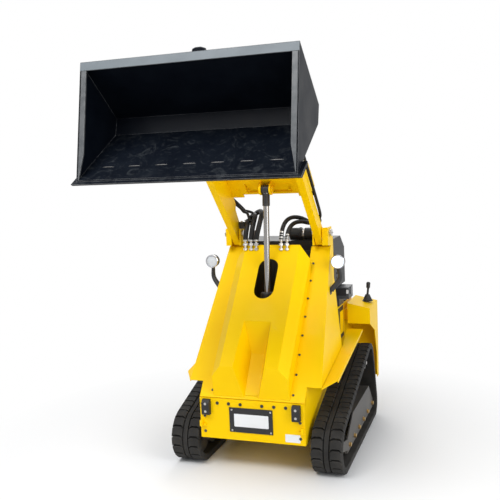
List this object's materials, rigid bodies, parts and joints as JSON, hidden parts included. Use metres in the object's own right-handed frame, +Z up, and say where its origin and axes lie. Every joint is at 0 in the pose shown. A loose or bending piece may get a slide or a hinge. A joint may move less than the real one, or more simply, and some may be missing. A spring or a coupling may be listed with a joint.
{
  "type": "mini track loader",
  "caption": "Compact stand-on track loader with raised lift arms, a dumping bucket, a hydraulic lift cylinder and rubber tracks.",
  "frame": {"origin": "bottom centre of the whole machine, on the ground, as stored with arms raised and bucket dumped", "axes": "+Z up; +Y to the rear, where the operator stands; the bucket faces -Y; +X to the left seen from the operator"},
  "size_m": [1.116, 2.365, 2.3005],
  "materials": {
    "yellow_paint": "satin",
    "black_paint": "satin",
    "grey_paint": "satin",
    "bucket_steel": "worn",
    "track_rubber": "matt",
    "pad_rubber": "matt",
    "wheel_steel": "satin",
    "engine_metal": "matt",
    "black_plastic": "matt",
    "chrome_rod": "polished",
    "pin_steel": "satin",
    "sign_black": "gloss",
    "hose_rubber": "satin"
  },
  "bodies": {
    "chassis": {"chassis_tub": "yellow_paint", "front_panel": "yellow_paint", "sign_plate": "sign_black", "stop_pads": "pad_rubber", "upper_frame": "yellow_paint", "fenders": "yellow_paint", "hood": "yellow_paint", "tower_left": "yellow_paint", "tower_right": "yellow_paint", "engine_housing": "yellow_paint", "engine_block": "engine_metal", "engine_shroud": "black_plastic", "side_box_left": "yellow_paint", "side_box_right": "yellow_paint", "operator_step": "black_paint", "control_console": "black_plastic", "control_levers": "black_plastic", "battery_box": "grey_paint", "work_lights": "black_paint", "hose_fittings": "pin_steel", "hose_clamps": "black_paint", "chassis_hoses": "hose_rubber", "track_left": "track_rubber", "track_right": "track_rubber", "idlers_left": "wheel_steel", "idlers_right": "wheel_steel", "rollers_left": "wheel_steel", "rollers_right": "wheel_steel", "sprocket_left": "wheel_steel", "sprocket_right": "wheel_steel", "track_frame_left": "yellow_paint", "track_frame_right": "yellow_paint"},
    "arms": {"arm_left": "yellow_paint", "arm_right": "yellow_paint", "pivot_pins": "pin_steel", "crossmember": "yellow_paint", "arm_hoses": "hose_rubber"},
    "level_pins": {"hinge_pins": "pin_steel"},
    "bucket": {"bucket_carrier": "bucket_steel", "bucket": "bucket_steel", "cutting_edge": "bucket_steel"},
    "lift_barrel": {"lift_tube": "black_paint"},
    "lift_rod": {"lift_rod": "chrome_rod"},
    "tilt_barrel": {"tilt_tube": "black_paint"},
    "tilt_rod": {"tilt_rod": "chrome_rod"}
  },
  "joints": [
    {"name": "lift", "type": "hinge", "parent": "chassis", "child": "arms", "pos_m": [0, 0.24254, 1.326], "axis": [-1, 0, 0], "range_deg": [-95.95, 0]},
    {"name": "level", "type": "hinge", "parent": "arms", "child": "level_pins", "pos_m": [0, -0.80383, 2.1481], "axis": [1, 0, 0], "range_deg": [-125.85, 0]},
    {"name": "tilt", "type": "hinge", "parent": "level_pins", "child": "bucket", "pos_m": [0, -0.80383, 2.1481], "axis": [1, 0, 0], "range_deg": [-20, 12]},
    {"name": "lift_barrel", "type": "hinge", "parent": "chassis", "child": "lift_barrel", "pos_m": [0, -0.06146, 0.33], "axis": [-1, 0, 0], "range_deg": [-1.49, 0]},
    {"name": "lift_rod", "type": "slide", "parent": "lift_barrel", "child": "lift_rod", "axis": [0, 0.081, 0.9967], "range_m": [-0.51541, 0]},
    {"name": "tilt_barrel", "type": "hinge", "parent": "arms", "child": "tilt_barrel", "pos_m": [0, 0.02663, 1.74592], "axis": [-1, 0, 0], "range_deg": [0, 2.25]},
    {"name": "tilt_rod", "type": "slide", "parent": "tilt_barrel", "child": "tilt_rod", "axis": [0, -0.8719, 0.4896], "range_m": [-0.27884, 0]}
  ],
  "couplings": [
    {"joint": "level", "follows": "lift", "ratio": 1.3116},
    {"joint": "lift_barrel", "follows": "lift", "ratio": 0.01553},
    {"joint": "lift_rod", "follows": "lift", "m_per_rad": 0.30777},
    {"joint": "tilt_barrel", "follows": "lift", "ratio": -0.023413},
    {"joint": "tilt_rod", "follows": "lift", "m_per_rad": 0.1665}
  ]
}
